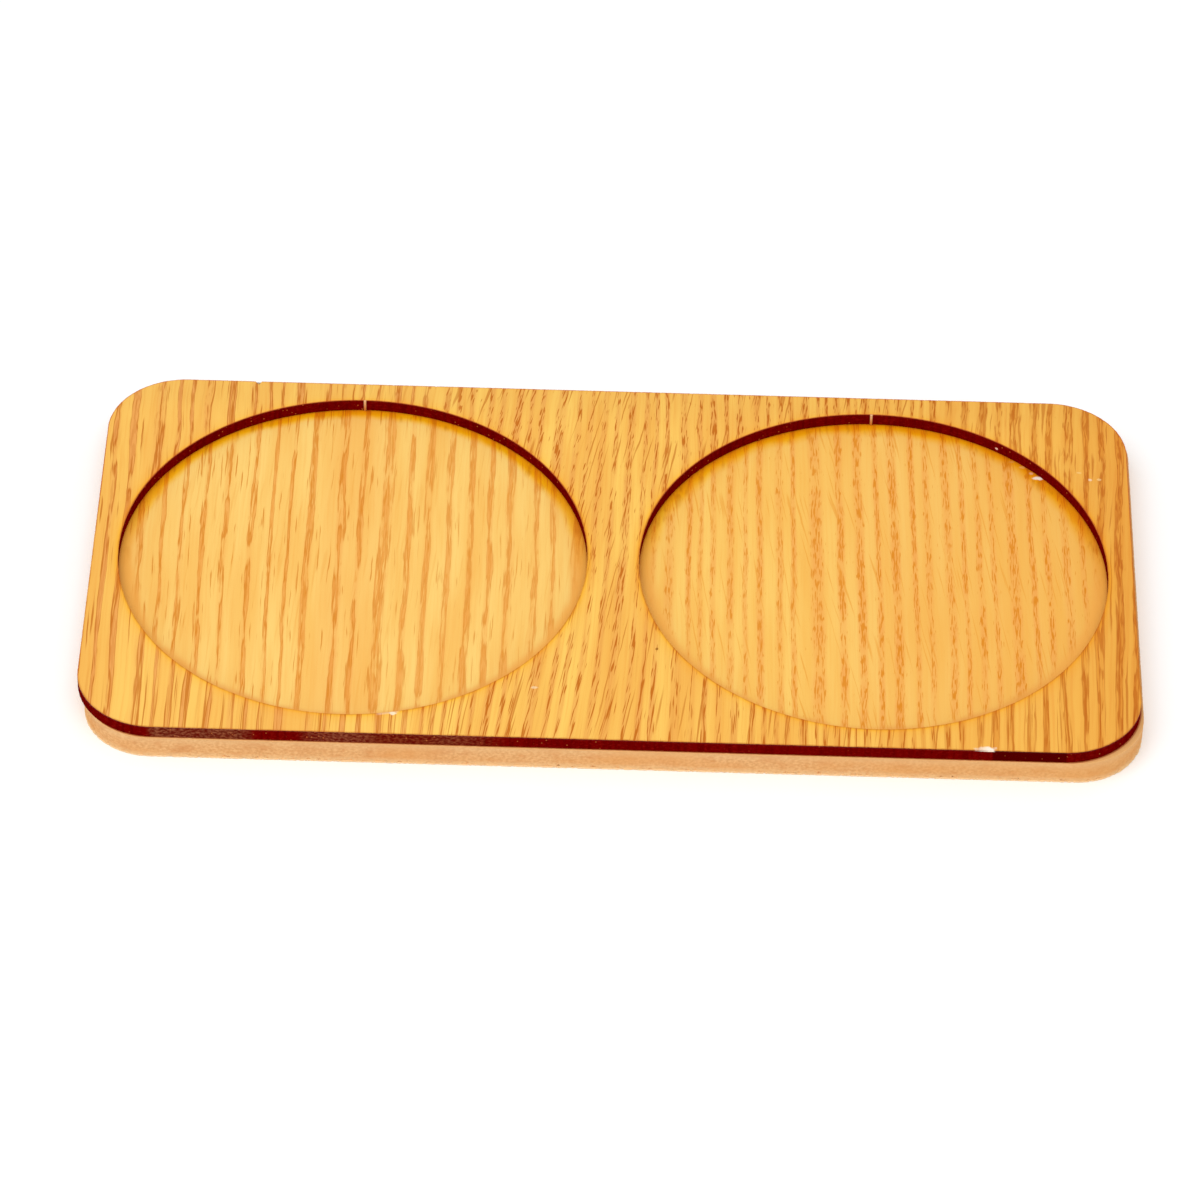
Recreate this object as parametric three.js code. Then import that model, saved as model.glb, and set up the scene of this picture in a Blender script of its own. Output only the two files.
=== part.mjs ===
// A drink coaster for two glasses: a thin oak-veneered plate with two round wells, cut by laser and
// glued onto a thicker oak-veneered base board that was sawn to nearly the same outline.
//
// Millimetres, +Z up. X runs along the long side, and Y from front to back, along the grain.
// The origin is at the level of the underside, in the middle of the whole.
import * as THREE from "three";
import { mergeGeometries } from "three/addons/utils/BufferGeometryUtils.js";

// Driving dimensions: the plan
const WELL_DIAMETER = 90; // a glass or a round mat drops in
const WELL_BORDER = 5; // wood left between a well and the board's edge
const WELL_GAP = 10; // wood left between the two wells
const CORNER_RADIUS = 15;
const BASE_CORNER_RADIUS = 13.2; // the base was sawn apart from the plate, with tighter corners
const BASE_SHORTFALL = 0.7; // and it came out this much shorter

// Driving dimensions: the layers, from the underside up
const BASE_BACKING_THICKNESS = 0.3;
const BASE_CORE_THICKNESS = 4.4;
const BASE_VENEER_THICKNESS = 0.3;
const GLUE_THICKNESS = 0.1;
const TOP_BACKING_THICKNESS = 0.3;
const TOP_CORE_THICKNESS = 1.9;
const TOP_VENEER_THICKNESS = 0.3;

// Driving dimensions: the traces of making
const SHIFT_LEFT = 0.9; // the plate was glued on by hand, this far to the left of the base
const SHIFT_BACK = 0.1; // and this far to the back of it
const GLUE_SETBACK = 1.3; // the glue stops this far short of the plate's cut edges
const TAB_WIDTH = 0.55; // the bridge that held a well's waste disc during the cut
const TAB_REACH = 0.25; // its broken stub stands this far into the well

// Steps of the round outlines
const WELL_STEPS = 88;
const CORNER_STEPS = 12;

const boardLength = 2 * (WELL_DIAMETER + WELL_BORDER) + WELL_GAP;
const boardWidth = WELL_DIAMETER + 2 * WELL_BORDER;
const baseLength = boardLength - BASE_SHORTFALL;
const wellRadius = WELL_DIAMETER / 2;

// The plate reaches further to the left and to the back, and the base to the right and to the front.
const reachRight = Math.max(boardLength / 2, SHIFT_LEFT + baseLength / 2);
const plateMiddle = new THREE.Vector2((boardLength / 2 - reachRight) / 2, SHIFT_BACK / 2);
const baseMiddle = plateMiddle.clone().add(new THREE.Vector2(SHIFT_LEFT, -SHIFT_BACK));
const wellPitch = new THREE.Vector2(WELL_DIAMETER + WELL_GAP, 0);
const wellCentres = [-0.5, 0.5].map((share) => plateMiddle.clone().addScaledVector(wellPitch, share));

function arcPoints(x, y, radius, from, to, steps) {
  return new THREE.EllipseCurve(x, y, radius, radius, from, to).getPoints(steps);
}

// A board's outline, a rectangle with round corners, drawn in from the edge by an inset.
function boardOutline(middle, length, corner, inset) {
  const radius = Math.min(corner, boardWidth / 2);
  const x = length / 2 - radius;
  const y = boardWidth / 2 - radius;
  const centres = [[x, y], [-x, y], [-x, -y], [x, -y]];
  return centres.flatMap(([cx, cy], quarter) => {
    const from = (quarter * Math.PI) / 2;
    const to = from + Math.PI / 2;
    return arcPoints(middle.x + cx, middle.y + cy, radius - inset, from, to, CORNER_STEPS);
  });
}

// A well's outline: a circle with the stub of the holding tab at the back.
function wellOutline(centre) {
  const halfTab = TAB_WIDTH / 2;
  const halfAngle = Math.asin(halfTab / wellRadius);
  const from = Math.PI / 2 + halfAngle;
  const to = 2.5 * Math.PI - halfAngle;
  const stubEnd = centre.y + wellRadius * Math.cos(halfAngle) - TAB_REACH;
  return [
    ...arcPoints(centre.x, centre.y, wellRadius, from, to, WELL_STEPS),
    new THREE.Vector2(centre.x + halfTab, stubEnd),
    new THREE.Vector2(centre.x - halfTab, stubEnd),
  ];
}

// The glue's opening round a well: a plain circle that stands back from the rim. Its last point
// would repeat the first, so it is left off.
function glueOpening(centre) {
  const radius = wellRadius + GLUE_SETBACK;
  return arcPoints(centre.x, centre.y, radius, 0, 2 * Math.PI, WELL_STEPS).slice(0, -1);
}

function pierced(outline, openings) {
  const shape = new THREE.Shape(outline);
  shape.holes = openings.map((opening) => new THREE.Path(opening));
  return shape;
}

function slab(shape, thickness) {
  return new THREE.ExtrudeGeometry(shape, { depth: thickness, bevelEnabled: false });
}

// A whole sheet whose two faces are split along the wells' rims, so that each well's floor is a
// face of its own. The edge is the side wall of the plain slab.
function sheetWithFloors(outline, openings, thickness) {
  const floors = openings.map((opening) => new THREE.Shape(opening));
  const faces = [pierced(outline, openings), ...floors];
  const lower = mergeGeometries(faces.map((face) => new THREE.ShapeGeometry(face)));
  const upper = lower.clone().translate(0, 0, thickness);
  lower.index.array.reverse();
  const plain = slab(new THREE.Shape(outline), thickness);
  const side = plain.groups[1];
  const corners = plain.getAttribute("position").array;
  const positions = [
    ...lower.toNonIndexed().getAttribute("position").array,
    ...upper.toNonIndexed().getAttribute("position").array,
    ...corners.slice(3 * side.start, 3 * (side.start + side.count)),
  ];
  const sheet = new THREE.BufferGeometry();
  return sheet.setAttribute("position", new THREE.Float32BufferAttribute(positions, 3));
}

function finish(color, roughness) {
  return new THREE.MeshStandardMaterial({ color, roughness, metalness: 0 });
}
const oakFace = finish(0xdca55c, 0.55);
const oakFloor = finish(0xdfab64, 0.6);
const oakBacking = finish(0xc99a58, 0.7);
const rawFibreboard = finish(0xc9975f, 0.9);
const burntFibreboard = finish(0x3a120b, 0.6);
const burntBacking = finish(0x43180e, 0.65);
const driedGlue = finish(0xe6dcc0, 0.4);

const baseOutline = boardOutline(baseMiddle, baseLength, BASE_CORNER_RADIUS, 0);
const plateOutline = boardOutline(plateMiddle, boardLength, CORNER_RADIUS, 0);
const wells = wellCentres.map(wellOutline);
const solidBoard = new THREE.Shape(baseOutline);
const cutBoard = pierced(plateOutline, wells);
const glueOutline = boardOutline(plateMiddle, boardLength, CORNER_RADIUS, GLUE_SETBACK);
const glueSpread = pierced(glueOutline, wellCentres.map(glueOpening));

// The layers lie face to face. The running level adds each thickness as a 32-bit number, as the
// vertices hold it, so that a layer's top and the next one's underside are the same height.
const coaster = new THREE.Group();
let level = 0;
function lay(name, geometry, thickness, material) {
  const mesh = new THREE.Mesh(geometry, material);
  mesh.name = name;
  mesh.position.z = level;
  coaster.add(mesh);
  level += Math.fround(thickness);
}
lay("base_backing", slab(solidBoard, BASE_BACKING_THICKNESS), BASE_BACKING_THICKNESS, oakBacking);
lay("base_core", slab(solidBoard, BASE_CORE_THICKNESS), BASE_CORE_THICKNESS, rawFibreboard);
lay(
  "base_veneer",
  sheetWithFloors(baseOutline, wells, BASE_VENEER_THICKNESS),
  BASE_VENEER_THICKNESS,
  oakFloor,
);
lay("glue_film", slab(glueSpread, GLUE_THICKNESS), GLUE_THICKNESS, driedGlue);
lay("top_backing", slab(cutBoard, TOP_BACKING_THICKNESS), TOP_BACKING_THICKNESS, burntBacking);
lay("top_core", slab(cutBoard, TOP_CORE_THICKNESS), TOP_CORE_THICKNESS, burntFibreboard);
lay("top_veneer", slab(cutBoard, TOP_VENEER_THICKNESS), TOP_VENEER_THICKNESS, oakFace);

export default coaster;
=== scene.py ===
from math import radians

import bpy
import numpy as np
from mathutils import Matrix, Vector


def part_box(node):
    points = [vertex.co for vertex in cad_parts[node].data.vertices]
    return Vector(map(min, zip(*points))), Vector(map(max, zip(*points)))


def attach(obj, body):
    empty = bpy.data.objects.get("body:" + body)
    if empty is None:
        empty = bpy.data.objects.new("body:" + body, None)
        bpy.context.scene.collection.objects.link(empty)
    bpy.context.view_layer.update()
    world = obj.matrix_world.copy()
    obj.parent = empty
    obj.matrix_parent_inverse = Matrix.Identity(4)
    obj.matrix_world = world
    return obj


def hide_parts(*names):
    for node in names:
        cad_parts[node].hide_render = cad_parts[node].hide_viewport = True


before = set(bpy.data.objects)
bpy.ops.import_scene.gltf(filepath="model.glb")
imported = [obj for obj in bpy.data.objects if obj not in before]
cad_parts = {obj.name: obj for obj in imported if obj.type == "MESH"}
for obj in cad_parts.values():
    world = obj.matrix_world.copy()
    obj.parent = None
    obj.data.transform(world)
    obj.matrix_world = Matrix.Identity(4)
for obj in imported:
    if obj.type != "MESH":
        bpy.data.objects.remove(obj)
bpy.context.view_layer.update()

# The underside veneer
# A thin plain-sliced sheet pressed onto the underside of the base board, so that the board stays flat.
# It is left raw, and its edge was sawn together with the board's.

UNDERSIDE_LOW, UNDERSIDE_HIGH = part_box("base_backing")
BASE_MIDDLE = ((UNDERSIDE_LOW + UNDERSIDE_HIGH) / 2).xy
BASE_HALF = ((UNDERSIDE_HIGH - UNDERSIDE_LOW) / 2).xy
BASE_CORNER = 0.0132
BASE_OUTLINE = (BASE_MIDDLE, BASE_HALF, BASE_CORNER)
BASE_RAYS = 1200
HAIRLINE = 0.00001
SHARP_TURN = radians(30)
SHEET_STEPS = 3
SHEET_RINGS = (0, 0.3, 0.6, 0.85, 0.99, 1)
UNDERSIDE_ARRIS = 0.00006
UNDERSIDE_FRAY = 0.0001
UNDERSIDE_FIBRE = 0.0008


def half_edge(count, reach, corner):
    """Rays from the centre of one half of a board to that half's edge.

    The rays of a square, stretched to the half's reach, run to its nearest side. Where a ray meets that
    side beyond the point at which a round corner begins, it runs to the corner's circle instead. The
    result is the rays' directions, the points that they reach, the outward normals there, and which rays
    end on the middle line, where the halves meet. The count is a multiple of 8, so that one ray ends at
    each end of the middle line.
    """
    turn = np.arange(count) * 2 * np.pi / count
    way = np.stack([np.cos(turn), np.sin(turn)], axis=1)
    across, along = np.abs(way).T
    side = way / np.maximum(across, along)[:, None] * reach
    ray = side / np.linalg.norm(side, axis=1)[:, None]
    arc_from = reach - corner
    on_arc = (side[:, 0] > arc_from[0]) & (np.abs(side[:, 1]) > arc_from[1])
    arc_centre = arc_from * np.stack([np.ones(count), np.sign(way[:, 1])], axis=1)
    abreast = (ray * arc_centre).sum(axis=1)
    left_over = abreast**2 - (arc_centre**2).sum(axis=1) + corner**2
    arc = ray * (abreast + np.sqrt(np.maximum(left_over, 0)))[:, None]
    edge = np.where(on_arc[:, None], arc, side)
    long_side = along > across * (1 - 1e-9)
    straight = np.where(long_side[:, None], [0, 1], [1, 0]) * np.sign(way)
    normal = np.where(on_arc[:, None], (arc - arc_centre) / corner, straight)
    on_middle = (way[:, 0] < 0) & ~long_side
    return ray, edge, normal, on_middle


def ripple(points, wavelength, seed):
    """A smooth random field about zero: plane waves that run in drawn directions from drawn phases, with
    lengths spread about the wavelength, added up and divided by the usual size of such a sum."""
    count = 24
    draw = np.random.default_rng(seed)
    ways = draw.normal(size=(3, count))
    ways /= np.linalg.norm(ways, axis=0)
    ways *= 2 * np.pi / (wavelength * draw.uniform(0.6, 1.6, count))
    waves = np.sin(points @ ways + draw.uniform(0, 2 * np.pi, count))
    return waves.sum(axis=-1) / (count / 2) ** 0.5


def layer_profile(low, high, lower_arris, upper_arris, steps, rings, pierced):
    """The rows of a layer's profile, from its upper face over its edge to its lower face.

    A row is its share of the way from the well's rim, or the half's centre, to the edge, its inset into
    the wood at both, and its height. A pierced layer comes back to the start up the well's wall.
    """
    heights = np.linspace(high - upper_arris, low + lower_arris, steps)
    rows = [(share, upper_arris, high) for share in rings]
    rows += [(1, 0, height) for height in heights]
    rows += [(share, lower_arris, low) for share in rings[::-1]]
    if pierced:
        rows += [(0, 0, height) for height in heights[::-1]]
    return np.array(rows)


def board_layer(name, profile, outline, relief, rim=None, rays=BASE_RAYS):
    """One layer of the board, a closed mesh: its profile carried on rays round the centre of each half.

    A row's point is the rim's point and the edge's point mixed by the row's share, after both are inset.
    The left half mirrors the right one, and they join along the middle line, where neither has a wall.
    The outline is the place of the board's middle, its half size and its corners' radius. relief gives
    how far each point of a cut wall moves out of the wood. With no rim, the profile starts and ends in a
    pole at the half's centre.
    """
    middle, half_size, corner = outline
    reach = np.array(half_size) * (0.5, 1)
    ray, edge, normal, on_middle = half_edge(rays, reach, corner)
    share, inset, height = profile.T[:, :, None, None]
    cut = ~on_middle[:, None]
    pierced = rim is not None
    inner = ray * (rim[:, None] + inset if pierced else 0)
    flat = (1 - share) * inner + share * (edge - normal * inset * cut) + (reach[0], 0)
    flat[np.abs(flat) < 1e-9] = 0
    outward = np.where(share == 1, normal * cut, np.where(share == 0, -ray * pierced, 0))
    right = np.concatenate([flat, np.broadcast_to(height, (*flat.shape[:2], 1))], axis=2)
    halves = np.stack([right, right * (-1, 1, 1)])
    ways_out = np.stack([outward, outward * (-1, 1)])
    halves[..., :2] += ways_out * relief(halves)[..., None]

    # Faces of the right half: strips of quads, and fans round the poles
    count = len(profile)
    row = np.arange(count if pierced else count - 1)[:, None]
    column = np.arange(rays)[None, :]
    below = (row + 1) % count
    beside = (column + 1) % rays
    quad_ends = [(row, column), (below, column), (below, beside), (row, beside)]
    quads = np.stack([place * rays + turn for place, turn in quad_ends], axis=-1)
    at_edge = profile[:, 0] == 1
    outer_wall = at_edge[row] & at_edge[below]
    kept = ~(outer_wall & (on_middle[column] | on_middle[beside]))
    kept[[0, -1]] &= pierced
    quads = quads[kept]
    first_fan = np.stack([column[0], rays + column[0], rays + beside[0]], axis=-1)
    last = (count - 2) * rays
    last_fan = np.stack([last + column[0], last + rays + column[0], last + beside[0]], axis=-1)
    fans = np.concatenate([first_fan, last_fan])[: 0 if pierced else None]

    # Both halves, with the points that they share made one
    points = halves.reshape(-1, 3) + (*middle, 0)
    mirrored = count * rays
    _, kept_points, place_of = np.unique(points.round(9), axis=0, return_index=True, return_inverse=True)
    place_of = place_of.ravel()
    quads = place_of[np.concatenate([quads, quads[:, ::-1] + mirrored])]
    fans = place_of[np.concatenate([fans, fans[:, ::-1] + mirrored])]
    used = np.unique(np.concatenate([quads.ravel(), fans.ravel()]))
    new_place = np.zeros(len(kept_points), int)
    new_place[used] = np.arange(len(used))
    mesh = bpy.data.meshes.new(name)
    faces = new_place[quads].tolist() + new_place[fans].tolist()
    mesh.from_pydata(points[kept_points][used], [], faces)
    mesh.shade_smooth()
    mesh.set_sharp_from_angle(angle=SHARP_TURN)
    piece = bpy.data.objects.new(name, mesh)
    bpy.context.scene.collection.objects.link(piece)
    return piece


def underside_relief(points):
    """A frayed edge, where the saw has torn fibres out."""
    return -UNDERSIDE_FRAY * np.abs(ripple(points, UNDERSIDE_FIBRE, 11))


def paint(red, green, blue):
    """A colour from its 0 to 255 screen values: the display curve undone, as the shaders need it."""
    shown = np.array([red, green, blue]) / 255
    linear = np.where(shown <= 0.04045, shown / 12.92, ((shown + 0.055) / 1.055) ** 2.4)
    return (*linear.tolist(), 1.0)


def add_node(tree, kind, inputs, **settings):
    """A new node whose inputs each get a number, or a link from another node's output."""
    made = tree.nodes.new(kind)
    for name, value in settings.items():
        setattr(made, name, value)
    for place, value in inputs.items():
        if isinstance(value, bpy.types.NodeSocket):
            tree.links.new(value, made.inputs[place])
        else:
            made.inputs[place].default_value = value
    return made


def calc(tree, operation, *values):
    """One step of arithmetic."""
    return add_node(tree, "ShaderNodeMath", dict(enumerate(values)), operation=operation).outputs[0]


def product(tree, first, *others):
    """Values multiplied with each other."""
    for other in others:
        first = calc(tree, "MULTIPLY", first, other)
    return first


def raised(tree, base, share, amount):
    """A base plus an amount in proportion to a share."""
    return calc(tree, "MULTIPLY_ADD", share, amount, base)


def fade(tree, value, low, high, start=0.0, end=1.0):
    """A smooth change from start to end, as the value goes from low to high."""
    inputs = {0: value, 1: low, 2: high, 3: start, 4: end}
    return add_node(tree, "ShaderNodeMapRange", inputs, interpolation_type="SMOOTHSTEP").outputs[0]


def tint(tree, share, under, over, blend="MIX"):
    """A colour that goes by a share from under to over, or to their product where they multiply."""
    inputs = {0: share, 6: under, 7: over}
    return add_node(tree, "ShaderNodeMix", inputs, data_type="RGBA", blend_type=blend).outputs[2]


def axes(tree, place):
    """The X, Y and Z of a place."""
    return add_node(tree, "ShaderNodeSeparateXYZ", {0: place}).outputs


def joined(tree, x, y):
    """A level place from its X and Y."""
    return add_node(tree, "ShaderNodeCombineXYZ", {0: x, 1: y}).outputs[0]


def vector(tree, operation, *values):
    """One step of arithmetic on places. A distance or a length is the node's second output."""
    made = add_node(tree, "ShaderNodeVectorMath", dict(enumerate(values)), operation=operation)
    return made.outputs[1 if operation in ("DISTANCE", "LENGTH") else 0]


def cloud(tree, place, stretch, detail=2.0):
    """Soft noise about one half, with lumps about one part in the stretch wide along each axis."""
    inputs = {"Vector": vector(tree, "MULTIPLY", place, stretch), "Scale": 1.0, "Detail": detail}
    return add_node(tree, "ShaderNodeTexNoise", inputs).outputs[0]


def centred(tree, value, width):
    """A value about one half made to swing about zero, over a width."""
    return calc(tree, "MULTIPLY", calc(tree, "SUBTRACT", value, 0.5), width)


def new_group(name, inputs, outputs):
    """An empty shader node group with its sockets, and its inside ends."""
    tree = bpy.data.node_groups.new(name, "ShaderNodeTree")
    for ends, in_out in ((inputs, "INPUT"), (outputs, "OUTPUT")):
        for socket, kind in ends.items():
            tree.interface.new_socket(socket, in_out=in_out, socket_type="NodeSocket" + kind)
    return tree, tree.nodes.new("NodeGroupInput").outputs, tree.nodes.new("NodeGroupOutput").inputs


def make_oak_figure():
    """The figure of sliced oak, with growth rings across X and the fibres along Y, in millimetres.

    X is bent by slow, middling and fine noise, divided by Ring Width and shifted by more noise, so that
    its whole part numbers the rings. Each ring has a soft line that fades out over Reach to both sides,
    with a strength drawn by the ring's number and changed along Y. Streaks are the islands that stand
    above a level in a noise drawn out over Streak Length. The level sinks at a line. Edges are the
    streaks' shores. Dashes are the islands of a finer noise, drawn out over Dash Length and leaning by
    Dash Lean, and Looseness spreads them away from the lines. Hairs are thin islands everywhere, and lean
    by Hair Lean. Fibres and bands are plain noise, fine and wide.
    """
    leans = ("Dash Lean", "Hair Lean")
    settings = ("Ring Width", "Reach", "Streak Length", "Dash Length", "Looseness", *leans)
    parts = ("Line", "Streaks", "Edges", "Dashes", "Hairs", "Fibres", "Bands")
    inputs = {"Place": "Vector", **dict.fromkeys(settings, "Float")}
    tree, given, result = new_group("oak_figure", inputs, dict.fromkeys(parts, "Float"))
    place = vector(tree, "MULTIPLY", given["Place"], (1000, 1000, 1000))
    across, along, _ = axes(tree, place)
    bent = across
    for stretch, width in (((0.012, 0.007, 0), 4.0), ((0.14, 0.04, 0), 1.2), ((1.1, 0.25, 0), 0.25)):
        bent = calc(tree, "ADD", bent, centred(tree, cloud(tree, place, stretch, 1.0), width))

    def leaning(lean, length=1.0):
        """The grain's own place, sheared sideways by the lean and measured along Y in lengths."""
        aside = calc(tree, "SUBTRACT", bent, calc(tree, "MULTIPLY", along, lean))
        return joined(tree, aside, calc(tree, "DIVIDE", along, length))

    rings = calc(tree, "DIVIDE", bent, given["Ring Width"])
    shift = centred(tree, cloud(tree, joined(tree, rings, 0.0), (0.45, 1, 1), 0.0), 1.4)
    rings = calc(tree, "ADD", rings, shift)
    ring = calc(tree, "FLOOR", rings)
    from_line = centred(tree, calc(tree, "FRACT", rings), given["Ring Width"])
    near = fade(tree, calc(tree, "DIVIDE", calc(tree, "ABSOLUTE", from_line), given["Reach"]), 1.0, 0.2)
    luck = add_node(tree, "ShaderNodeTexWhiteNoise", {"W": ring}, noise_dimensions="1D").outputs["Value"]
    own_place = joined(tree, calc(tree, "MULTIPLY", ring, 3.7), along)
    patchy = fade(tree, cloud(tree, own_place, (1, 0.09, 1)), 0.34, 0.6, 0.5, 1.0)
    strength = product(tree, raised(tree, 0.6, luck, 0.4), patchy)
    line = product(tree, near, strength)

    streak_level = 0.7
    streak_noise = cloud(tree, leaning(0.0, given["Streak Length"]), (1.9, 1, 0))
    streak_rise = raised(tree, calc(tree, "SUBTRACT", streak_noise, streak_level), line, 0.32)
    dash_level = raised(tree, 0.73, given["Looseness"], -0.07)
    dash_noise = cloud(tree, leaning(given["Dash Lean"], given["Dash Length"]), (3.6, 1, 0), 1.5)
    held = raised(tree, 1.0, given["Looseness"], -0.45)
    sunk = product(tree, near, raised(tree, 0.09, strength, 0.24), held)
    dash_rise = calc(tree, "ADD", sunk, calc(tree, "SUBTRACT", dash_noise, dash_level))
    hair_noise = cloud(tree, leaning(given["Hair Lean"]), (2.0, 0.05, 0), 0.0)
    outcomes = {
        "Line": line,
        "Streaks": fade(tree, streak_rise, 0.0, 0.06),
        "Edges": fade(tree, calc(tree, "ABSOLUTE", streak_rise), 0.08, 0.01),
        "Dashes": fade(tree, dash_rise, 0.0, 0.09),
        "Hairs": fade(tree, hair_noise, 0.67, 0.77),
        "Fibres": cloud(tree, leaning(0.0), (2.4, 0.06, 0), 3.0),
        "Bands": cloud(tree, leaning(0.0), (0.2, 0.02, 0)),
    }
    for name, outcome in outcomes.items():
        tree.links.new(outcome, result[name])
    return tree


def lay_grain(tree, figure, colour, layers):
    """A ground colour with parts of the figure laid over it in turn, each at a strength."""
    for part, strength, over in layers:
        colour = tint(tree, product(tree, figure.outputs[part], strength), colour, over)
    return colour


def grain_relief(tree, figure):
    """The height of the wood: its fibres, with the dashes as shallow pores."""
    return raised(tree, figure.outputs["Fibres"], figure.outputs["Dashes"], -0.3)


def new_material(name):
    """A material with its tree, its shader and the object's own coordinates."""
    made = bpy.data.materials.new(name)
    made.use_nodes = True
    tree = made.node_tree
    place = tree.nodes.new("ShaderNodeTexCoord").outputs["Object"]
    return made, tree, tree.nodes["Principled BSDF"], place


def finish_shader(tree, shader, colour, roughness, height, depth, specular):
    """Gives a shader its colour, roughness and relief, the last as a bump that is depth metres high."""
    bump = add_node(tree, "ShaderNodeBump", {"Height": height, "Distance": depth, "Strength": 1.0})
    for name, value in {"Base Color": colour, "Roughness": roughness, "Normal": bump.outputs[0]}.items():
        tree.links.new(value, shader.inputs[name])
    shader.inputs["Specular IOR Level"].default_value = specular


underside_rows = layer_profile(
    UNDERSIDE_LOW.z, UNDERSIDE_HIGH.z, UNDERSIDE_ARRIS, HAIRLINE, SHEET_STEPS, SHEET_RINGS, False
)
underside = board_layer("underside_veneer", underside_rows, BASE_OUTLINE, underside_relief)
oak_figure = make_oak_figure()
material, tree, shader, place = new_material("underside_veneer_raw")
grain = {"Place": vector(tree, "ADD", place, (0.71, 0.33, 0.0))}
grain |= {"Ring Width": 5.5, "Reach": 0.8, "Streak Length": 25.0, "Dash Length": 4.0}
figure = add_node(tree, "ShaderNodeGroup", grain, node_tree=oak_figure)
colour = tint(tree, figure.outputs["Bands"], paint(236, 182, 104), paint(222, 164, 88))
layers = [
    ("Line", 0.4, paint(204, 142, 74)),
    ("Streaks", 0.5, paint(186, 122, 62)),
    ("Dashes", 0.55, paint(166, 102, 48)),
]
colour = lay_grain(tree, figure, colour, layers)
# The sawn edge is given a pale tone: partly the raw edge, partly painted light against the shade where the
# board meets the floor
sawn = fade(tree, axes(tree, place)[2], 0.00002, UNDERSIDE_ARRIS)
colour = tint(tree, sawn, colour, paint(255, 220, 168))
roughness = fade(tree, figure.outputs["Fibres"], 0.2, 0.8, 0.62, 0.78)
finish_shader(tree, shader, colour, roughness, grain_relief(tree, figure), 0.00003, 0.25)
underside.data.materials.append(material)
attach(underside, "root")
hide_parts("base_backing")

# The base board's core
# Raw fibreboard: wood fibres pressed with resin, sawn to the outline and left bare. Its edge is a soft
# even tan with loose fibres along the saw cut, a little lighter towards the top. Painted light brightens
# it towards the bottom, and a painted fall-off of the light darkens it towards the right.

CORE_LOW, CORE_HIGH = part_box("base_core")
CORE_STEPS = 13
CORE_RINGS = (0, 0.4, 0.8, 0.99, 1)
LOOSE_FIBRE = 0.00004
SAW_WAVE = 0.00003
TORN_HEIGHT = 0.0009


def sawn_relief(points):
    """Loose fibres and faint saw waves, all inside the cut line, with the lower arris torn a little."""
    fine = np.abs(ripple(points, 0.0009, 21))
    waves = np.abs(ripple(points * (1, 1, 0.15), 0.006, 22))
    torn = np.clip((CORE_LOW.z + TORN_HEIGHT - points[..., 2]) / TORN_HEIGHT, 0, 1)
    return -LOOSE_FIBRE * fine * (1 + 4 * torn) - SAW_WAVE * waves


core_rows = layer_profile(CORE_LOW.z, CORE_HIGH.z, HAIRLINE, HAIRLINE, CORE_STEPS, CORE_RINGS, False)
core = board_layer("base_board_core", core_rows, BASE_OUTLINE, sawn_relief)
material, tree, shader, place = new_material("fibreboard_sawn")
fibres = cloud(tree, place, (1500, 1500, 2200), 4.0)
clumps = cloud(tree, place, (330, 330, 600), 3.0)
blush = cloud(tree, place, (60, 60, 180))
x, _, z = axes(tree, place)
rise = calc(tree, "SUBTRACT", z, (CORE_LOW.z + CORE_HIGH.z) / 2)
colour = tint(tree, fade(tree, fibres, 0.3, 0.7), paint(226, 164, 102), paint(247, 194, 132))
for share, over in (
    (fade(tree, clumps, 0.45, 0.75, 0.0, 0.6), paint(222, 150, 88)),
    (fade(tree, blush, 0.42, 0.7, 0.0, 0.5), paint(238, 166, 92)),
    # Darker and more orange towards the right: painted fall-off of the light
    (fade(tree, x, 0.03, 0.09, 0.0, 0.4), paint(236, 168, 92)),
    # A little lighter towards the top, and painted light towards the bottom against the shade where the
    # board meets the floor
    (fade(tree, rise, 0.0002, 0.0022, 0.0, 0.35), paint(246, 202, 146)),
    (fade(tree, rise, -0.0008, -0.0022, 0.0, 0.6), paint(255, 216, 160)),
):
    colour = tint(tree, share, colour, over)
finish_shader(tree, shader, colour, fade(tree, fibres, 0.3, 0.7, 0.95, 0.85), fibres, 0.00012, 0.15)
core.data.materials.append(material)
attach(core, "root")
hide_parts("base_core")

# The base board's face
# A sheet of oak veneer pressed onto the base board, which shows as the floors of the two wells.
# Painted shade darkens and warms it under the wells' walls.

FLOOR_LOW, FLOOR_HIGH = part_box("base_veneer")
FLOOR_ARRIS = 0.00003
FLOOR_FRAY = 0.00003
FLOOR_FIBRE = 0.0012
PLATE_LOW, PLATE_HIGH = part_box("top_core")
PLATE_MIDDLE = ((PLATE_LOW + PLATE_HIGH) / 2).xy
PLATE_HALF = ((PLATE_HIGH - PLATE_LOW) / 2).xy
PLATE_CORNER = 0.015
WELL_X = PLATE_HALF.x / 2
WELL_RADIUS = 0.045


def floor_relief(points):
    """A slightly frayed edge."""
    return -FLOOR_FRAY * np.abs(ripple(points, FLOOR_FIBRE, 11))


def between(tree, share, start, end):
    """A number that goes smoothly from start to end with a share."""
    return fade(tree, share, 0.0, 1.0, start, end)


def zone(tree, value, start, full, last, end):
    """A share that rises as the value goes from start to full, and falls as it goes from last to end."""
    return product(tree, fade(tree, value, start, full), fade(tree, value, end, last))


def excess(tree, value, limit):
    """By how much a value is over a limit, or else zero."""
    return calc(tree, "MAXIMUM", calc(tree, "SUBTRACT", value, limit), 0.0)


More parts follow.
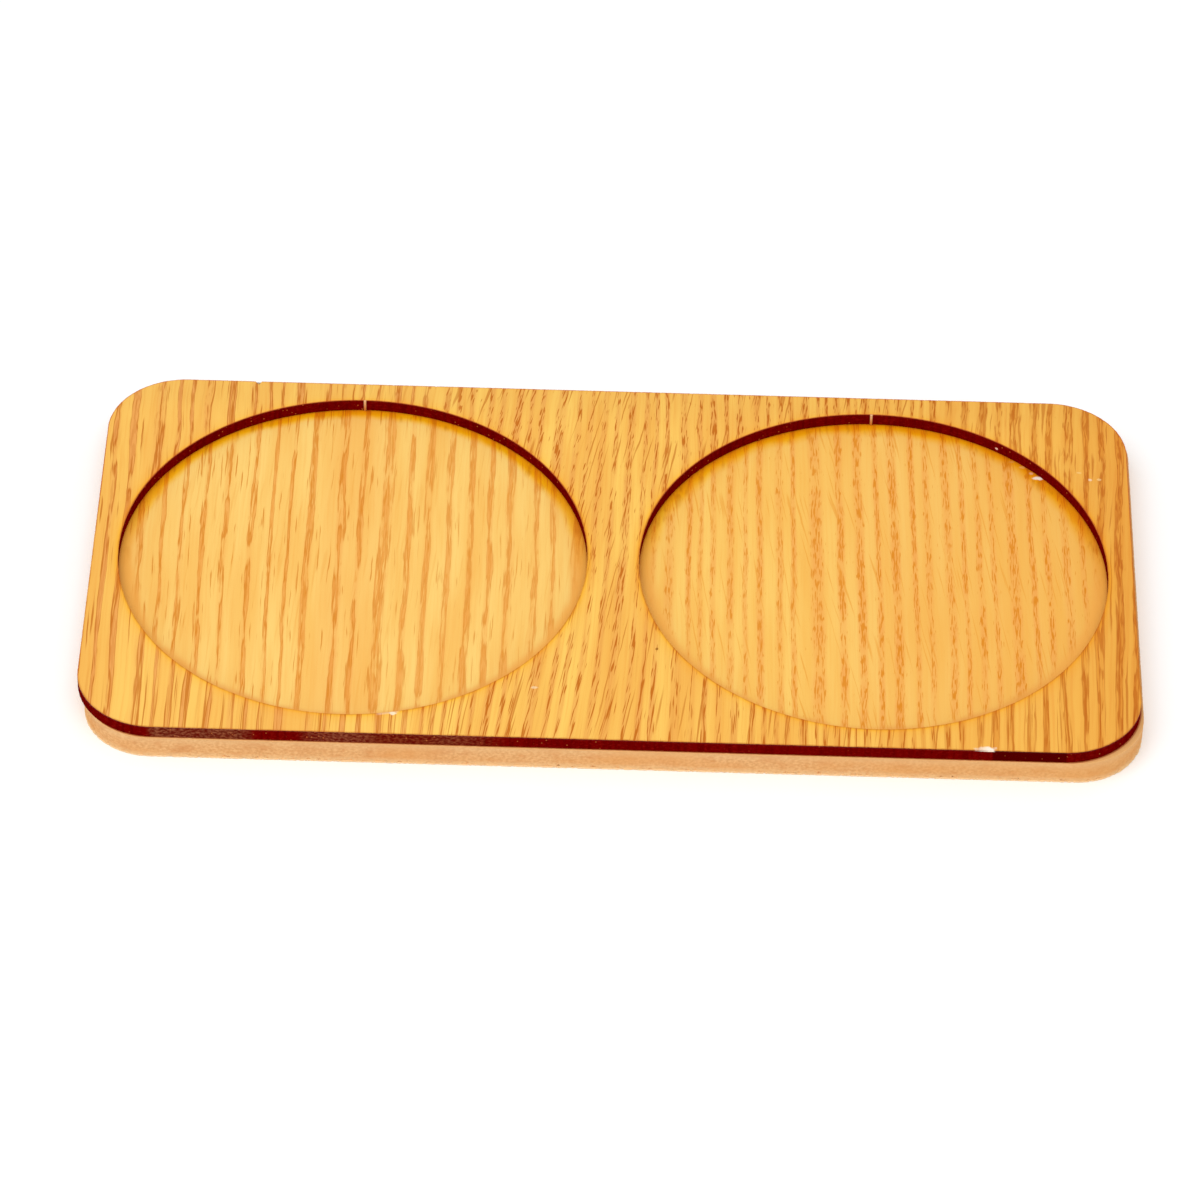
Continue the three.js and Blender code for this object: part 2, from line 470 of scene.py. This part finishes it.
def make_cut_distance():
    """How far a place is from the wells' walls and from the plate's edge, in millimetres.

    From a wall: the distance from the nearer well's centre, less the well's radius, so that it is below
    zero inside. From the edge: the corner's radius, less the distance from the inner rectangle that the
    corners' centres make.
    """
    tree, given, result = new_group("cut_distance", {"Place": "Vector"}, {"Rim": "Float", "Edge": "Float"})
    from_middle = vector(tree, "SUBTRACT", given["Place"], (*PLATE_MIDDLE, 0))
    folded = vector(tree, "MULTIPLY", vector(tree, "ABSOLUTE", from_middle), (1000, 1000, 0))
    from_well = vector(tree, "DISTANCE", folded, (1000 * WELL_X, 0, 0))
    tree.links.new(calc(tree, "SUBTRACT", from_well, 1000 * WELL_RADIUS), result["Rim"])
    corner = (1000 * (PLATE_HALF.x - PLATE_CORNER), 1000 * (PLATE_HALF.y - PLATE_CORNER), 0)
    beyond = vector(tree, "MAXIMUM", vector(tree, "SUBTRACT", folded, corner), (0, 0, 0))
    from_inner = vector(tree, "LENGTH", beyond)
    tree.links.new(calc(tree, "SUBTRACT", 1000 * PLATE_CORNER, from_inner), result["Edge"])
    return tree


def spot(tree, place, middle, half):
    """A rough ellipsoid about a middle, given in millimetres from the plate's middle at the level of the
    table: one inside it and zero outside. Its edge is where the distance, scaled by the half sizes and
    shifted by noise, is about one."""
    centre = (PLATE_MIDDLE.x + middle[0] / 1000, PLATE_MIDDLE.y + middle[1] / 1000, middle[2] / 1000)
    offset = vector(tree, "SUBTRACT", place, centre)
    scaled = vector(tree, "MULTIPLY", offset, tuple(1000 / size for size in half))
    rough = centred(tree, cloud(tree, place, (1200, 1200, 1200)), 1.2)
    return fade(tree, calc(tree, "ADD", vector(tree, "LENGTH", scaled), rough), 1.2, 0.6)


def lay_spots(tree, place, colour, spots):
    """A colour with spots laid over it in turn: each one's middle, half sizes, strength and colour."""
    for middle, half, strength, over in spots:
        colour = tint(tree, product(tree, spot(tree, place, middle, half), strength), colour, over)
    return colour


floor_rows = layer_profile(
    FLOOR_LOW.z, FLOOR_HIGH.z, HAIRLINE, FLOOR_ARRIS, SHEET_STEPS, SHEET_RINGS, False
)
well_floor = board_layer("well_floor_veneer", floor_rows, BASE_OUTLINE, floor_relief)
cut_distance = make_cut_distance()
material, tree, shader, place = new_material("oak_floor_matt")
x, y, z = axes(tree, place)
in_right = fade(tree, x, -0.005, 0.005)
past_left = fade(tree, x, -0.068, -0.045)
at_right = fade(tree, x, 0.04, 0.055)
heart = zone(tree, x, -0.058, -0.055, -0.047, -0.044)

# The grain: its lines crowd towards the right end, spread towards the middle and stand a little aslant
across = raised(tree, x, excess(tree, x, 0.05), 0.3)
across = raised(tree, across, product(tree, excess(tree, 0.035, x), in_right), -0.4)
across = raised(tree, across, y, 0.011)
grain = {
    "Place": vector(tree, "ADD", joined(tree, across, y), (0.27, 0.19, 0.0)),
    "Ring Width": 4.2,
    "Reach": raised(tree, between(tree, past_left, 0.75, 1.1), in_right, 0.25),
    "Streak Length": 15.0,
    "Dash Length": between(tree, in_right, 4.0, 3.0),
    "Dash Lean": 0.02,
    "Looseness": between(tree, in_right, 0.0, 0.45),
    "Hair Lean": between(tree, in_right, 0.06, -0.18),
}
figure = add_node(tree, "ShaderNodeGroup", grain, node_tree=oak_figure)
bands = fade(tree, figure.outputs["Bands"], 0.3, 0.7)
fibres = fade(tree, figure.outputs["Fibres"], 0.4, 0.75, 0.0, 0.3)
colour = tint(tree, bands, paint(251, 208, 116), paint(247, 192, 97))
# Darker and more orange towards the right: partly the wood's own tone, partly painted fall-off of the light
colour = tint(tree, fade(tree, x, 0.0, 0.1, 0.0, 0.6), colour, paint(240, 170, 66))
colour = tint(tree, fibres, colour, paint(242, 172, 78))
colour = tint(tree, product(tree, heart, 0.25), colour, paint(243, 172, 82))
yellowed = product(tree, in_right, fade(tree, x, 0.055, 0.035))
colour = tint(tree, yellowed, colour, (1.0, 0.985, 0.88, 1.0), "MULTIPLY")
edged = raised(tree, between(tree, past_left, 0.85, 0.6), in_right, -0.6)
layers = [
    ("Line", raised(tree, between(tree, in_right, 0.65, 0.95), heart, 0.35), paint(241, 166, 80)),
    ("Streaks", raised(tree, between(tree, in_right, 0.6, 0.0), heart, 0.35), paint(236, 160, 72)),
    ("Edges", raised(tree, edged, heart, 0.2), paint(216, 132, 34)),
    ("Dashes", raised(tree, between(tree, in_right, 0.3, 0.75), at_right, 0.1), paint(220, 132, 6)),
    ("Hairs", between(tree, in_right, 0.2, 0.5), paint(230, 148, 40)),
]
colour = lay_grain(tree, figure, colour, layers)

# Painted shade under the wells' walls: warm along the side and front walls, deep orange with darker runs
# under the back walls, and a thin reddish line at their foot
from_rim, from_edge = add_node(tree, "ShaderNodeGroup", {"Place": place}, node_tree=cut_distance).outputs
at_back = fade(tree, y, -0.012, 0.03)
under_plate = fade(tree, from_rim, 1.2, 0.2)
uneven = calc(tree, "ADD", from_rim, centred(tree, cloud(tree, place, (140, 70, 0), 3.0), 3.2))
# Painted shade along the side and front walls, darker at the front and fading out towards the back
painted_wall_shade = product(tree, fade(tree, uneven, -3.8, -1.6), under_plate, fade(tree, at_back, 0.7, 0.1, 0.0, 0.9))
painted_wall_shade_colour = tint(tree, fade(tree, y, -0.02, -0.042), paint(246, 176, 82), paint(232, 160, 76))
colour = tint(tree, painted_wall_shade, colour, painted_wall_shade_colour)
# Painted shade under the back walls, deepest near the walls, with darker runs in it
back_shade_reach = between(tree, in_right, -3.1, -3.9)
toast_and_painted_shade = product(tree, fade(tree, uneven, back_shade_reach, -1.0), under_plate, between(tree, at_back, 0.1, 1.0))
colour = tint(tree, toast_and_painted_shade, colour, (1.0, 0.8, 0.0, 1.0), "MULTIPLY")
deep_back_shade = product(tree, toast_and_painted_shade, fade(tree, uneven, -2.4, 0.0))
colour = tint(tree, deep_back_shade, colour, (0.92, 0.72, 0.2, 1.0), "MULTIPLY")
runs = product(tree, toast_and_painted_shade, fade(tree, cloud(tree, place, (700, 160, 0), 3.0), 0.52, 0.68, 0.0, 0.5))
colour = tint(tree, runs, colour, paint(190, 102, 4))
# A thin reddish line of painted shade at the foot of the walls
singe_and_painted_shade = product(tree, fade(tree, from_rim, -0.35, -0.1, 0.0, 0.3), under_plate)
colour = tint(tree, singe_and_painted_shade, colour, paint(186, 76, 16))

# Pale crumbs along the right well's back wall, a reddish-brown band along the line of the plate's edge, and
# the sheet's own margin and edge
crumbs = (
    ((82.6, 30.3, 5.0), (1.1, 0.5, 1.0), 1.0, paint(255, 240, 222)),
    ((81.3, 31.7, 5.0), (0.45, 0.35, 1.0), 0.45, paint(244, 200, 176)),
    ((79.5, 33.4, 5.0), (0.7, 0.35, 1.0), 0.3, paint(250, 204, 130)),
    ((77.5, 35.0, 5.0), (0.6, 0.3, 1.0), 0.35, paint(214, 160, 90)),
)
colour = lay_spots(tree, place, colour, crumbs)
colour = tint(tree, fade(tree, from_edge, 0.4, 0.1), colour, paint(198, 112, 62))
colour = tint(tree, fade(tree, from_edge, -0.1, -0.3), colour, paint(240, 182, 114))
on_edge = fade(tree, z, FLOOR_HIGH.z - 0.00002, FLOOR_HIGH.z - 0.00006)
colour = tint(tree, on_edge, colour, paint(240, 184, 118))
roughness = fade(tree, figure.outputs["Fibres"], 0.2, 0.8, 0.5, 0.66)
finish_shader(tree, shader, colour, roughness, grain_relief(tree, figure), 0.00002, 0.12)
well_floor.data.materials.append(material)
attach(well_floor, "root")
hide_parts("base_veneer")

# The glue
# A film of white wood glue, rolled on thinly, that has dried clear and yellowish between the boards.
# It stops short of the cut edges, so only a thin gap shows there.

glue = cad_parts["glue_film"]
material, tree, shader, place = new_material("glue_dried")
streaks = cloud(tree, place, (220, 60, 60), 3.0)
colour = tint(tree, fade(tree, streaks, 0.3, 0.7), paint(232, 212, 164), paint(208, 178, 122))
finish_shader(tree, shader, colour, fade(tree, streaks, 0.3, 0.7, 0.35, 0.55), streaks, 0.00002, 0.4)
glue.data.materials.clear()
glue.data.materials.append(material)

# The top plate's backing and core
# A thin veneered fibreboard, cut by laser with its two wells. The cut has charred its edges to a dark
# red-brown crust with soot here and there. A stub at the back of each well is the broken bridge that
# held the waste disc, and stays pale.

BACKING_LOW, BACKING_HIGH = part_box("top_backing")
BACKING_ARRIS = 0.00003
PLATE_OUTLINE = (PLATE_MIDDLE, PLATE_HALF, PLATE_CORNER)
PLATE_RAYS = 1600
PLATE_STEPS = 7
PLATE_RINGS = (0, 0.5, 1)
STUB_WIDTH = 0.00055
STUB_REACH = 0.00025
STUB_SLOPE = 0.0002
CHAR_DEPTH = 0.00002


def well_rim(count):
    """The radius of a well along its rays: the circle's, less the stub's reach where a ray passes through
    the stub at the back, with a short slope on both sides."""
    turn = np.arange(count) * 2 * np.pi / count
    aside = np.abs(np.cos(turn)) * WELL_RADIUS
    stub = np.clip((STUB_WIDTH / 2 + STUB_SLOPE / 2 - aside) / STUB_SLOPE, 0, 1) * (np.sin(turn) > 0)
    return WELL_RADIUS - STUB_REACH * stub


def charred_relief(points):
    """Upright ridges that the laser's pulses leave, with a finer crust."""
    ridges = np.abs(ripple(points * (1, 1, 0.04), 0.0007, 31))
    crust = np.abs(ripple(points, 0.0006, 32))
    return -CHAR_DEPTH * ridges - CHAR_DEPTH * crust


def make_scorch():
    """A laser-charred edge: dark red char with upright streaks, darker along one stretch of the front,
    mottled dull brown where Soot is high, and with small pale fibres that the heat has missed."""
    inputs = {"Place": "Vector", "Soot": "Float"}
    tree, given, result = new_group("scorch", inputs, {"Color": "Color", "Crust": "Float"})
    place = given["Place"]
    x, y, _ = axes(tree, place)
    streaks = cloud(tree, place, (1500, 1500, 120), 3.0)
    flecks = cloud(tree, place, (1300, 1300, 2600), 4.0)
    patches = cloud(tree, place, (60, 60, 60))
    colour = tint(tree, fade(tree, streaks, 0.35, 0.7), paint(114, 2, 1), paint(98, 0, 0))
    colour = tint(tree, fade(tree, flecks, 0.5, 0.72, 0.0, 0.6), colour, paint(140, 20, 14))
    slow_cut = product(tree, zone(tree, x, 0.0713, 0.0717, 0.0851, 0.0855), fade(tree, y, -0.048, -0.049))
    colour = tint(tree, slow_cut, colour, paint(82, 0, 0))
    dull = tint(tree, fade(tree, flecks, 0.38, 0.68), paint(98, 26, 12), paint(160, 98, 66))
    brown = tint(tree, fade(tree, flecks, 0.38, 0.7), paint(98, 10, 4), paint(140, 66, 34))
    mottled = tint(tree, fade(tree, patches, 0.4, 0.6), dull, brown)
    settled = product(tree, given["Soot"], fade(tree, patches, 0.3, 0.55, 0.55, 0.95))
    colour = tint(tree, settled, colour, mottled)
    cells = {"Vector": vector(tree, "MULTIPLY", place, (1300, 1300, 1300)), "Scale": 1.0}
    cell = add_node(tree, "ShaderNodeTexVoronoi", cells)
    luck = add_node(tree, "ShaderNodeSeparateColor", {0: cell.outputs["Color"]}).outputs[0]
    luck = calc(tree, "ADD", luck, fade(tree, x, 0.01, -0.01, 0.0, 0.18))
    missed = product(tree, fade(tree, cell.outputs["Distance"], 0.24, 0.12), fade(tree, luck, 0.88, 0.94))
    colour = tint(tree, product(tree, missed, 0.65), colour, paint(206, 120, 60))
    tree.links.new(colour, result["Color"])
    tree.links.new(cloud(tree, place, (1700, 1700, 1500), 3.0), result["Crust"])
    return tree


def soot_share(tree, place):
    """Where soot has settled: two stretches along the left half of the front edge."""
    x, y, _ = axes(tree, place)
    first = zone(tree, x, -0.0866, -0.0846, -0.0695, -0.0655)
    second = zone(tree, x, -0.0586, -0.0544, -0.03, -0.018)
    shares = calc(tree, "MAXIMUM", first, product(tree, second, 0.85))
    return product(tree, shares, fade(tree, y, -0.044, -0.049))


def stub_share(tree, place):
    """Where the pale broken stubs are: a narrow band at the back of each well."""
    x, y, _ = axes(tree, place)
    from_middle = calc(tree, "ABSOLUTE", calc(tree, "SUBTRACT", x, PLATE_MIDDLE.x))
    aside = calc(tree, "ABSOLUTE", calc(tree, "SUBTRACT", from_middle, WELL_X))
    return product(tree, fade(tree, aside, 0.0003, 0.00018), zone(tree, y, 0.044, 0.0444, 0.045, 0.0452))


def stub_colour(tree, place):
    """Broken wood, pale at the upper end and toasted towards the floor."""
    rise = fade(tree, axes(tree, place)[2], PLATE_LOW.z, PLATE_HIGH.z)
    return tint(tree, rise, paint(214, 140, 62), paint(240, 194, 146))


def chip_share(tree, place):
    """Where the face has chipped off at the front edge, most of all at the chip's right end."""
    x, _, z = axes(tree, place)
    chip = spot(tree, place, (70.4, -49.7, 7.6), (2.0, 0.75, 1.0))
    return product(tree, chip, fade(tree, x, 0.0685, 0.0712, 0.45, 1.0), fade(tree, z, 0.00727, 0.0073))


rim = well_rim(PLATE_RAYS)
backing_rows = layer_profile(
    BACKING_LOW.z, BACKING_HIGH.z, BACKING_ARRIS, HAIRLINE, SHEET_STEPS, PLATE_RINGS, True
)
backing = board_layer("top_plate_backing", backing_rows, PLATE_OUTLINE, charred_relief, rim, PLATE_RAYS)
plate_rows = layer_profile(PLATE_LOW.z, PLATE_HIGH.z, HAIRLINE, HAIRLINE, PLATE_STEPS, PLATE_RINGS, True)
plate = board_layer("top_plate_core", plate_rows, PLATE_OUTLINE, charred_relief, rim, PLATE_RAYS)
scorch = make_scorch()
chip_colour = paint(255, 240, 222)

for piece, node, slot, raw in (
    (backing, "top_backing", "burnt_backing", paint(214, 160, 96)),
    (plate, "top_core", "burnt_fibreboard", paint(240, 222, 190)),
):
    material, tree, shader, place = new_material(slot + "_edge")
    burnt = {"Place": place, "Soot": soot_share(tree, place)}
    char, crust = add_node(tree, "ShaderNodeGroup", burnt, node_tree=scorch).outputs
    from_rim, from_edge = add_node(tree, "ShaderNodeGroup", {"Place": place}, node_tree=cut_distance).outputs
    inside = calc(tree, "MINIMUM", calc(tree, "ABSOLUTE", from_rim), from_edge)
    raw_wood = fade(tree, cloud(tree, place, (900, 900, 900), 3.0), 0.3, 0.7, 0.0, 0.4)
    raw_colour = tint(tree, raw_wood, raw, paint(226, 176, 112))
    colour = tint(tree, fade(tree, inside, 0.1, 0.25), char, raw_colour)
    colour = tint(tree, stub_share(tree, place), colour, stub_colour(tree, place))
    colour = tint(tree, chip_share(tree, place), colour, chip_colour)
    fleck = ((74.6, 37.7, 6.0), (0.33, 0.33, 0.28), 1.0, paint(250, 216, 204))
    colour = lay_spots(tree, place, colour, [fleck])
    finish_shader(tree, shader, colour, fade(tree, crust, 0.3, 0.7, 0.7, 0.9), crust, 0.00005, 0.0)
    piece.data.materials.append(material)
    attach(piece, "root")
    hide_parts(node)

# The top plate's face
# The oak veneer that was pressed onto the plate before it was cut, sanded and left matt. Its thin edge
# is charred with the core's, and it has chipped a little at the front.

FACE_LOW, FACE_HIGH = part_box("top_veneer")
FACE_ARRIS = 0.00004
FACE_RINGS = (0, 0.08, 0.3, 0.6, 0.92, 1)
CHIP_X, CHIP_HALF, CHIP_DEPTH = 0.0706, 0.0013, 0.0002
NICK_X, NICK_HALF, NICK_DEPTH = -0.0713, 0.0006, 0.0006
LONG_SIDE_Y = 0.0485


def face_relief(points):
    """Charred ridges, and a small round bite each at the front and the back edge, where the veneer has
    chipped."""
    x, y = points[..., 0], points[..., 1]
    chip = np.clip(1 - ((x - CHIP_X) / CHIP_HALF) ** 2, 0, 1) * (y < -LONG_SIDE_Y)
    nick = np.clip(1 - ((x - NICK_X) / NICK_HALF) ** 2, 0, 1) * (y > LONG_SIDE_Y)
    bites = (CHIP_DEPTH * chip + NICK_DEPTH * nick) * (1 + 0.25 * ripple(points, 0.0015, 41))
    return charred_relief(points) - bites


face_rows = layer_profile(FACE_LOW.z, FACE_HIGH.z, HAIRLINE, FACE_ARRIS, SHEET_STEPS, FACE_RINGS, True)
face = board_layer("top_plate_face", face_rows, PLATE_OUTLINE, face_relief, rim, PLATE_RAYS)
material, tree, shader, place = new_material("oak_face_matt")
x, y, z = axes(tree, place)
to_right = fade(tree, x, -0.02, 0.1)
at_right = fade(tree, x, 0.05, 0.085)
in_middle = zone(tree, x, -0.055, -0.02, 0.05, 0.085)
in_strip = zone(tree, x, -0.045, -0.02, -0.006, 0.014)

# The grain: its lines spread towards both ends, bow aslant in the strip between the wells, and lean back
# at the right end, and its marks are drawn out towards the back
bow = raised(tree, product(tree, calc(tree, "ABSOLUTE", y), -0.75), y, 0.25)
across = raised(tree, x, excess(tree, x, 0.055), -0.3)
across = raised(tree, across, in_strip, product(tree, y, bow))
across = raised(tree, across, excess(tree, -0.045, x), 0.23)
across = raised(tree, across, product(tree, y, at_right), -0.02)
along = product(tree, y, raised(tree, 0.85, y, 3.0))
grain = {
    "Place": joined(tree, across, along),
    "Ring Width": fade(tree, x, 0.02, 0.07, 2.8, 2.3),
    "Reach": raised(tree, between(tree, at_right, 0.75, 0.85), in_middle, 0.2),
    "Streak Length": 25.0,
    "Dash Length": 4.0,
    "Dash Lean": raised(tree, product(tree, in_middle, 0.03), in_strip, 0.08),
    "Looseness": product(tree, in_middle, 0.6),
    "Hair Lean": product(tree, in_middle, 0.14),
}
figure = add_node(tree, "ShaderNodeGroup", grain, node_tree=oak_figure)
bands = fade(tree, figure.outputs["Bands"], 0.3, 0.7)
fibres = fade(tree, figure.outputs["Fibres"], 0.4, 0.75, 0.0, 0.35)
colour = tint(tree, bands, paint(253, 206, 100), paint(244, 182, 82))
# Darker and more orange towards the right: partly the wood's own tone, partly painted fall-off of the light
colour = tint(tree, product(tree, to_right, 0.7), colour, paint(242, 178, 74))
colour = tint(tree, fade(tree, x, -0.02, -0.09, 0.0, 0.4), colour, paint(246, 190, 94))
colour = tint(tree, product(tree, fibres, between(tree, at_right, 1.0, 1.4)), colour, paint(234, 154, 60))
line_colour = tint(tree, to_right, paint(236, 162, 80), paint(224, 142, 42))
streak_colour = tint(tree, to_right, paint(234, 160, 82), paint(222, 142, 42))
dark = tint(tree, to_right, paint(194, 102, 0), paint(190, 98, 0))
edged = raised(tree, fade(tree, x, -0.06, -0.03, 0.78, 0.95), at_right, -0.35)
layers = [
    ("Line", between(tree, at_right, 0.7, 0.65), line_colour),
    ("Streaks", raised(tree, between(tree, in_middle, 0.7, 0.2), at_right, -0.25), streak_colour),
    ("Edges", product(tree, edged, between(tree, in_middle, 1.0, 0.15)), dark),
    ("Dashes", raised(tree, between(tree, in_middle, 0.25, 0.9), at_right, 0.3), dark),
    ("Hairs", raised(tree, between(tree, in_middle, 0.15, 0.65), at_right, 0.45), dark),
]
colour = lay_grain(tree, figure, colour, layers)

# Slow changes over the sheet, and the heat's marks along the cuts
from_rim, from_edge = add_node(tree, "ShaderNodeGroup", {"Place": place}, node_tree=cut_distance).outputs
from_cut = calc(tree, "MINIMUM", from_rim, from_edge)
at_ends = calc(tree, "ADD", fade(tree, x, 0.083, 0.1), fade(tree, x, -0.09, -0.1, 0.0, 0.25))
colour = tint(tree, at_ends, colour, (0.92, 0.81, 0.69, 1.0), "MULTIPLY")
colour = tint(tree, fade(tree, y, 0.038, 0.048), colour, (0.96, 0.96, 0.97, 1.0), "MULTIPLY")
toast_and_painted_shade = calc(tree, "ADD", fade(tree, from_rim, 3.2, 0.0, 0.0, 0.4), fade(tree, from_rim, 1.2, 0.1, 0.0, 0.6))
toast_and_painted_shade = product(tree, toast_and_painted_shade, fade(tree, y, 0.01, 0.04, 1.0, 0.6))
colour = tint(tree, toast_and_painted_shade, colour, (1.0, 0.85, 0.3, 1.0), "MULTIPLY")
patchy = fade(tree, cloud(tree, place, (260, 260, 0)), 0.35, 0.65, 0.3, 1.0)
browned = product(tree, fade(tree, from_cut, 0.5, 0.1), fade(tree, y, 0.01, 0.03, 0.55, 0.0), patchy)
colour = tint(tree, browned, colour, paint(192, 112, 14))
singe_and_painted_shade = product(tree, fade(tree, from_cut, 0.3, 0.1), fade(tree, y, 0.0, 0.02, 0.25, 0.8))
colour = tint(tree, singe_and_painted_shade, colour, paint(186, 72, 30))

# Rubbed and chipped places, pale crumbs and a dark speck
rubbed = product(tree, zone(tree, x, -0.0439, -0.0429, -0.0401, -0.0391), fade(tree, from_rim, 0.8, 0.3))
rubbed = product(tree, rubbed, fade(tree, y, -0.04, -0.043, 0.0, 0.3))
colour = tint(tree, rubbed, colour, paint(255, 240, 214))
marks = (
    ((-40.2, -44.5, 7.6), (0.7, 0.45, 1.0), 0.8, paint(255, 240, 208)),
    ((92.5, 27.3, 7.6), (0.4, 0.4, 1.0), 0.6, paint(255, 226, 200)),
    ((94.3, 27.4, 7.6), (0.5, 0.4, 1.0), 0.5, paint(255, 220, 150)),
    ((90.4, 29.3, 7.6), (0.5, 0.25, 1.0), 0.4, paint(255, 220, 150)),
    ((-14.0, -36.3, 7.6), (0.7, 0.35, 1.0), 0.5, paint(255, 232, 190)),
    ((8.8, -24.75, 7.6), (0.32, 0.4, 1.0), 0.8, paint(146, 86, 0)),
)
colour = lay_spots(tree, place, colour, marks)
burnt = {"Place": place, "Soot": soot_share(tree, place)}
char = add_node(tree, "ShaderNodeGroup", burnt, node_tree=scorch).outputs["Color"]
on_edge = fade(tree, z, FACE_HIGH.z - 0.00002, FACE_HIGH.z - 0.00006)
colour = tint(tree, on_edge, colour, char)
colour = tint(tree, chip_share(tree, place), colour, chip_colour)
colour = tint(tree, stub_share(tree, place), colour, stub_colour(tree, place))
roughness = fade(tree, figure.outputs["Fibres"], 0.2, 0.8, 0.48, 0.64)
finish_shader(tree, shader, colour, roughness, grain_relief(tree, figure), 0.00003, 0.12)
face.data.materials.append(material)
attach(face, "root")
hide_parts("top_veneer")

# The studio
# A pale floor, one soft lamp above, in front and a little to the left, and light from all round.
# The camera's place, turn and lens are fitted to the outline and the wells' rims.

WHITE = (1.0, 1.0, 1.0, 1.0)
BELOW_BOARD = -0.00002


def seen_share(tree, *kinds):
    """One for the rays that look at a thing, such as the camera's, and zero for those that light it."""
    path = tree.nodes.new("ShaderNodeLightPath").outputs
    share = path["Is Camera Ray"]
    for kind in kinds:
        share = calc(tree, "MAXIMUM", share, path[kind])
    return share


bpy.ops.mesh.primitive_circle_add(vertices=96, radius=3.0, fill_type="NGON", location=(0, 0, BELOW_BOARD))
ground = bpy.context.object
ground.name = "studio_floor"
material, tree, shader, place = new_material("studio_floor_white")
shader.inputs["Base Color"].default_value = (0.94, 0.94, 0.94, 1.0)
shader.inputs["Roughness"].default_value = 0.9
shader.inputs["Specular IOR Level"].default_value = 0.1
shader.inputs["Emission Color"].default_value = WHITE
glow = product(tree, seen_share(tree, "Is Glossy Ray"), 0.1)
tree.links.new(glow, shader.inputs["Emission Strength"])
ground.data.materials.append(material)

lamp_data = bpy.data.lights.new("softbox", "AREA")
lamp_data.shape = "RECTANGLE"
lamp_data.size = 1.5
lamp_data.size_y = 1.2
lamp_data.energy = 10.9
lamp = bpy.data.objects.new("softbox", lamp_data)
lamp.location = (-0.2, -0.45, 1.2)
lamp.rotation_euler = (-lamp.location).to_track_quat("-Z", "Y").to_euler()
bpy.context.scene.collection.objects.link(lamp)

world = bpy.data.worlds.new("studio")
bpy.context.scene.world = world
world.use_nodes = True
tree = world.node_tree
light = tree.nodes["Background"]
light.inputs["Color"].default_value = WHITE
light.inputs["Strength"].default_value = 0.6
seen = seen_share(tree, "Is Glossy Ray", "Is Transmission Ray")
white = add_node(tree, "ShaderNodeBackground", {"Color": WHITE, "Strength": 1.0})
mixed = add_node(tree, "ShaderNodeMixShader", {0: seen, 1: light.outputs[0], 2: white.outputs[0]})
tree.links.new(mixed.outputs[0], tree.nodes["World Output"].inputs["Surface"])

camera_data = bpy.data.cameras.new("camera")
camera_data.lens = 189.02
camera_data.sensor_width = 36.0
camera = bpy.data.objects.new("camera", camera_data)
camera.location = (0.004198, -0.884920, 0.804321)
camera.rotation_euler = (radians(47.7123), radians(-0.91825), radians(1.39913))
bpy.context.scene.collection.objects.link(camera)
bpy.context.scene.camera = camera
bpy.context.scene.view_settings.view_transform = "Standard"
